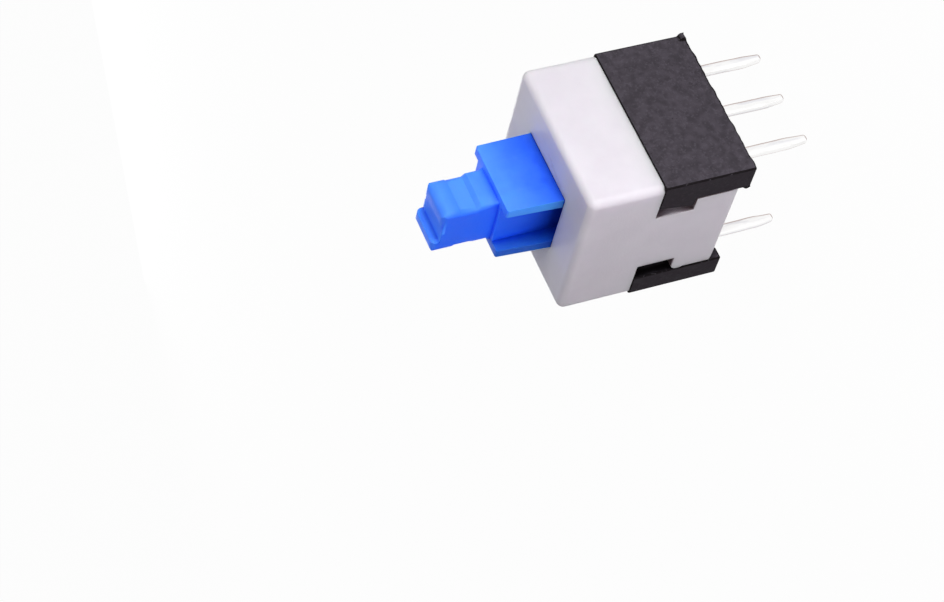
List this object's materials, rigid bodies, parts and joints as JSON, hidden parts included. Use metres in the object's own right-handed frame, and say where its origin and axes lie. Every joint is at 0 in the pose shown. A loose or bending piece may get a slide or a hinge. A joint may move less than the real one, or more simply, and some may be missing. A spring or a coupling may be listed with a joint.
{
  "type": "latching push button switch",
  "caption": "Square through-hole push switch with a sliding stemmed plunger that latches when pressed and springs back when pressed again.",
  "frame": {"origin": "centre of the pin pattern, in the plane of the board seat", "axes": "+Z along the plunger towards its stem, +Y towards the upper terminal plate, +X towards side A with the flush wall"},
  "size_m": [0.0086, 0.0088, 0.0184],
  "materials": {
    "housing_plastic": "satin, slightly translucent",
    "plate_plastic": "matt with a fine grain",
    "plunger_plastic": "satin",
    "tinned_metal": "bright tin, drawn and cut",
    "contact_metal": "rolled phosphor bronze",
    "spring_steel": "drawn wire"
  },
  "bodies": {
    "case": {"housing": "housing_plastic", "rear_board": "housing_plastic", "upper_terminal_plate": "plate_plastic", "lower_terminal_plate": "plate_plastic", "side_frame": "plate_plastic", "upper_front_terminal": "tinned_metal", "upper_common_terminal": "tinned_metal", "upper_rear_terminal": "tinned_metal", "lower_front_terminal": "tinned_metal", "lower_common_terminal": "tinned_metal", "lower_rear_terminal": "tinned_metal", "return_spring": "spring_steel", "latch_spring": "spring_steel"},
    "plunger": {"plunger": "plunger_plastic", "upper_moving_contact": "contact_metal", "lower_moving_contact": "contact_metal"},
    "latch_pin": {"latch_pin": "spring_steel"}
  },
  "joints": [
    {"name": "plunger_slide", "type": "slide", "parent": "case", "child": "plunger", "axis": [0, 0, -1], "range_m": [0, 0.0025], "stiffness_N_per_m": 500, "deforming": ["return_spring"]},
    {"name": "latch_pin_swing", "type": "hinge", "parent": "case", "child": "latch_pin", "pos_m": [0, 0, 0.0019], "axis": [-1, 0, 0], "range_deg": [0, 18]}
  ],
  "couplings": [
    {"joint": "latch_pin_swing", "follows": "plunger_slide", "rad_per_m": 125.66}
  ]
}
